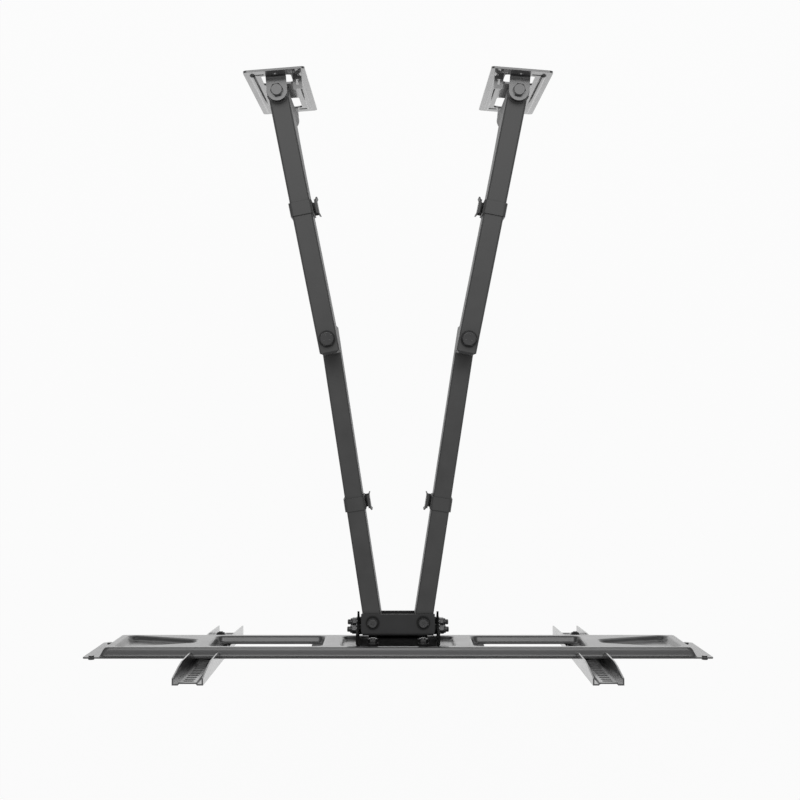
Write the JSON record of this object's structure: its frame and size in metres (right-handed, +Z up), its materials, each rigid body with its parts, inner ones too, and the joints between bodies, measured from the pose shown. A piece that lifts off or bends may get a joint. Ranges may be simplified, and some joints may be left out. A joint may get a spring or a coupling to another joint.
{
  "type": "tv wall mount",
  "caption": "Long-reach full-motion television wall mount with folding arms, separate wall plates, a tilting head, a long pressed carrier plate and sliding slotted rails",
  "frame": {"origin": "on the wall's face, midway between the backs of the two wall plates and at their middle height", "axes": "+X along the wall to the right as seen in the picture, +Y into the wall, +Z up"},
  "size_m": [0.918, 0.8686, 0.4202],
  "materials": {
    "black_sheet": "satin black powder coat on folded and pressed sheet steel",
    "black_tube": "satin black powder coat on rectangular steel tube",
    "black_fastener": "black oxide steel, slightly glossier than the coat",
    "black_plastic": "moulded matt black plastic",
    "black_nylon": "moulded black nylon"
  },
  "bodies": {
    "wall_left": {"wall_plate_left": "black_sheet"},
    "rear_left": {"rear_arm_left": "black_tube", "rear_arm_cap_left": "black_plastic", "rear_cable_clip_left": "black_plastic", "wall_pivot_bolts_left": "black_fastener", "wall_pivot_washers_left": "black_nylon", "elbow_bolt_left": "black_fastener", "elbow_washers_left": "black_nylon", "elbow_nut_left": "black_fastener"},
    "front_left": {"front_arm_left": "black_tube", "front_arm_cap_left": "black_plastic", "front_cable_clip_left": "black_plastic", "hub_nylon_washers_left": "black_nylon"},
    "hub": {"hub_housing": "black_sheet", "hub_pivot_bolts": "black_fastener", "hub_pivot_washers": "black_fastener", "hub_pivot_nuts": "black_fastener", "tilt_bolts": "black_fastener", "tilt_spacers": "black_nylon", "tilt_washers": "black_fastener", "tilt_nuts": "black_fastener"},
    "head": {"tilt_yoke": "black_sheet", "yoke_bolts": "black_fastener", "yoke_washers": "black_fastener", "yoke_nuts": "black_fastener", "tv_plate": "black_sheet", "rail_stops": "black_fastener"},
    "rail_left": {"tv_rail_left": "black_sheet", "rail_lock_plate_left": "black_sheet", "rail_lock_screw_left": "black_plastic"},
    "rail_right": {"tv_rail_right": "black_sheet", "rail_lock_plate_right": "black_sheet", "rail_lock_screw_right": "black_plastic"},
    "front_right": {"front_arm_right": "black_tube", "front_arm_cap_right": "black_plastic", "front_cable_clip_right": "black_plastic", "hub_nylon_washers_right": "black_nylon"},
    "rear_right": {"rear_arm_right": "black_tube", "rear_arm_cap_right": "black_plastic", "rear_cable_clip_right": "black_plastic", "wall_pivot_bolts_right": "black_fastener", "wall_pivot_washers_right": "black_nylon", "elbow_bolt_right": "black_fastener", "elbow_washers_right": "black_nylon", "elbow_nut_right": "black_fastener"},
    "wall_right": {"wall_plate_right": "black_sheet"}
  },
  "joints": [
    {"name": "wall_pivot_left", "type": "hinge", "parent": "wall_left", "child": "rear_left", "pos_m": [-0.17218, -0.02342, 0], "axis": [0, 0, 1], "range_deg": [-86, 73]},
    {"name": "elbow_left", "type": "hinge", "parent": "rear_left", "child": "front_left", "pos_m": [-0.10163, -0.37645, 0.028], "axis": [0, 0, 1], "range_deg": [-150, 42]},
    {"name": "hub_pivot_left", "type": "hinge", "parent": "front_left", "child": "hub", "pos_m": [-0.0375, -0.79557, 0], "axis": [0, 0, -1], "range_deg": [-16, 60]},
    {"name": "tilt", "type": "hinge", "parent": "hub", "child": "head", "pos_m": [0, -0.81957, -0.039], "axis": [1, 0, 0], "range_deg": [-2, 18]},
    {"name": "rail_slide_left", "type": "slide", "parent": "head", "child": "rail_left", "axis": [1, 0, 0], "range_m": [-0.119, 0.181]},
    {"name": "rail_slide_right", "type": "slide", "parent": "head", "child": "rail_right", "axis": [-1, 0, 0], "range_m": [-0.119, 0.181]},
    {"name": "hub_pivot_right", "type": "hinge", "parent": "hub", "child": "front_right", "pos_m": [0.0375, -0.79557, 0], "axis": [0, 0, 1], "range_deg": [-60, 16]},
    {"name": "elbow_right", "type": "hinge", "parent": "front_right", "child": "rear_right", "pos_m": [0.10163, -0.37645, 0.028], "axis": [0, 0, -1], "range_deg": [-42, 150]},
    {"name": "wall_pivot_right", "type": "hinge", "parent": "rear_right", "child": "wall_right", "pos_m": [0.17218, -0.02342, 0], "axis": [0, 0, -1], "range_deg": [-73, 86]}
  ]
}
